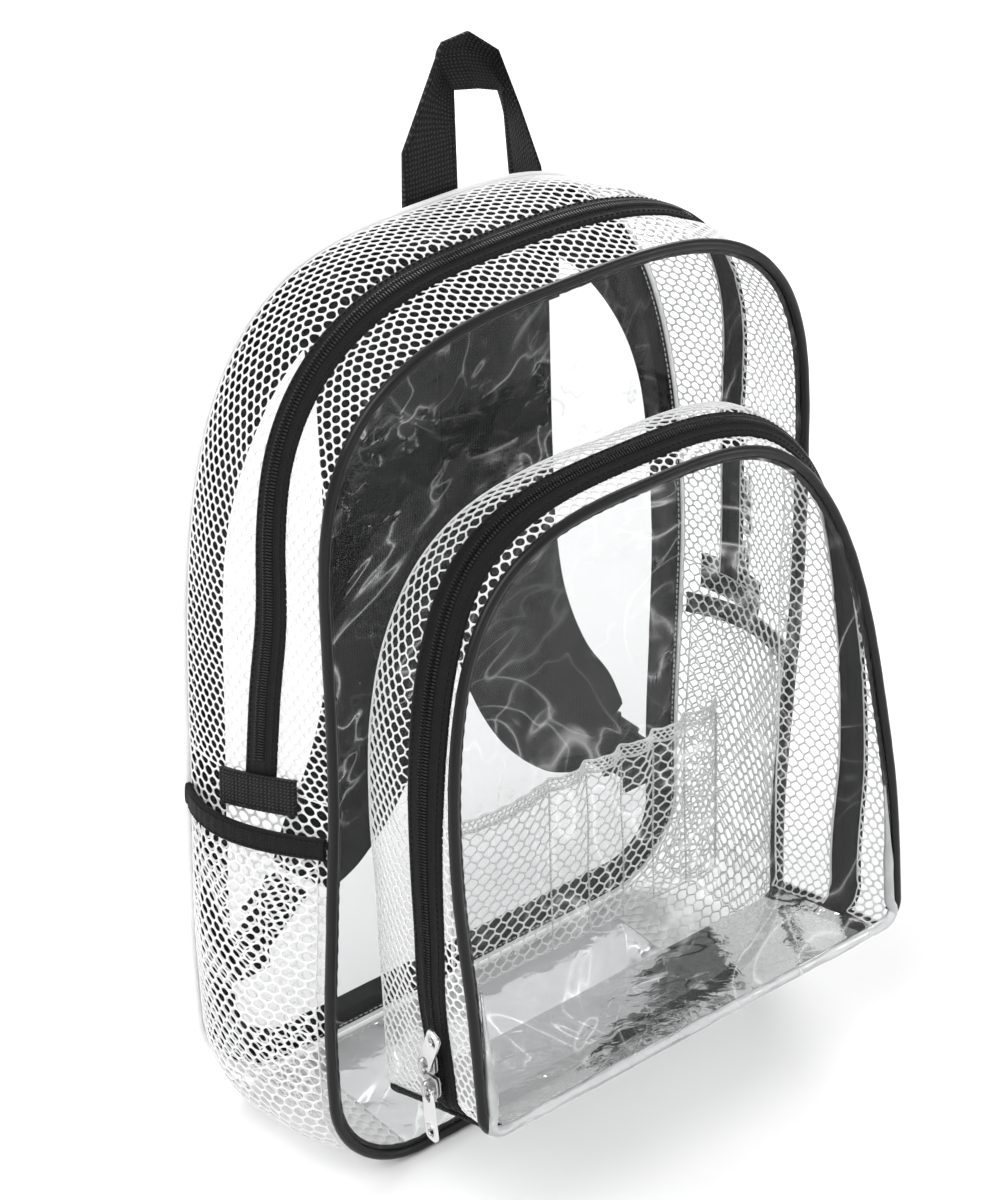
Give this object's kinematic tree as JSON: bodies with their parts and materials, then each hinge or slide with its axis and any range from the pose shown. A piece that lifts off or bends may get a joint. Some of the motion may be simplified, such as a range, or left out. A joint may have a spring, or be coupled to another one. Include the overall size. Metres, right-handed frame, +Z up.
{
  "type": "clear backpack",
  "caption": "Arched clear backpack with black piping, white net sides and crown, a zipped front pocket, net side pockets, a haul loop and padded straps.",
  "frame": {"origin": "on the floor under the middle of the bag, on the bottom panel's flat resting face", "axes": "+Z up to the haul loop, -Y out of the front pocket, +Y to the wearer's back, +X to the right as seen from the front"},
  "size_m": [0.3439, 0.2015, 0.512],
  "materials": {
    "clear_sheet": "clear flexible vinyl, glossy, lightly creased",
    "white_net": "white knitted net with open six-sided cells",
    "black_piping": "black satin vinyl",
    "zipper_tape": "woven black tape",
    "zipper_coil": "black nylon coil",
    "black_webbing": "ribbed black webbing",
    "black_cloth": "matt black woven cloth",
    "pull_metal": "nickel-plated, slightly worn",
    "buckle_plastic": "moulded black plastic"
  },
  "bodies": {
    "bag": {"back_border": "black_cloth", "back_piping": "white_net", "back_window": "clear_sheet", "bottom_panel": "clear_sheet", "crown_net_back": "white_net", "crown_net_front": "white_net", "front_panel": "clear_sheet", "front_piping": "black_piping", "haul_loop": "black_webbing", "ladder_lock_left": "buckle_plastic", "ladder_lock_right": "buckle_plastic", "main_slider_lower": "pull_metal", "main_slider_upper": "pull_metal", "main_zipper_coil": "zipper_coil", "main_zipper_tape": "zipper_tape", "organizer_binding": "white_net", "organizer_net": "white_net", "pocket_bottom_panel": "clear_sheet", "pocket_end_left": "black_webbing", "pocket_end_right": "black_webbing", "pocket_front_panel": "clear_sheet", "pocket_net_back": "white_net", "pocket_net_front": "white_net", "pocket_piping": "black_piping", "pocket_slider_lower": "pull_metal", "pocket_slider_upper": "pull_metal", "pocket_zipper_coil": "zipper_coil", "pocket_zipper_tape": "zipper_tape", "shoulder_strap_left": "black_cloth", "shoulder_strap_right": "black_cloth", "side_net_left": "white_net", "side_net_right": "white_net", "side_pocket_binding_left": "black_cloth", "side_pocket_binding_right": "black_cloth", "side_pocket_left": "white_net", "side_pocket_right": "white_net", "strap_anchor_left": "black_webbing", "strap_anchor_right": "black_webbing", "strap_webbing_left": "black_webbing", "strap_webbing_right": "black_webbing", "strap_yoke": "black_cloth", "zipper_end_left": "black_webbing", "zipper_end_right": "black_webbing"},
    "main_pull_upper": {"main_pull_upper": "pull_metal"},
    "main_pull_lower": {"main_pull_lower": "pull_metal"},
    "pocket_pull_upper": {"pocket_pull_upper": "pull_metal"},
    "pocket_pull_lower": {"pocket_pull_lower": "pull_metal"}
  },
  "joints": [
    {"name": "main_pull_upper_swing", "type": "hinge", "parent": "bag", "child": "main_pull_upper", "pos_m": [0.16287, 0.01263, 0.24753], "axis": [-0.0588, -0.9983, -0.0013], "range_deg": [-3, 90]},
    {"name": "main_pull_lower_swing", "type": "hinge", "parent": "bag", "child": "main_pull_lower", "pos_m": [0.16282, 0.01318, 0.20849], "axis": [-0.0789, -0.9969, 0.0027], "range_deg": [-3, 90]},
    {"name": "pocket_pull_upper_swing", "type": "hinge", "parent": "bag", "child": "pocket_pull_upper", "pos_m": [-0.13848, -0.09888, 0.09756], "axis": [0.0431, 0.9983, -0.0393], "range_deg": [-90, 0]},
    {"name": "pocket_pull_lower_swing", "type": "hinge", "parent": "bag", "child": "pocket_pull_lower", "pos_m": [-0.13787, -0.09956, 0.08385], "axis": [0.0578, 0.9975, -0.0404], "range_deg": [-3, 90]}
  ]
}
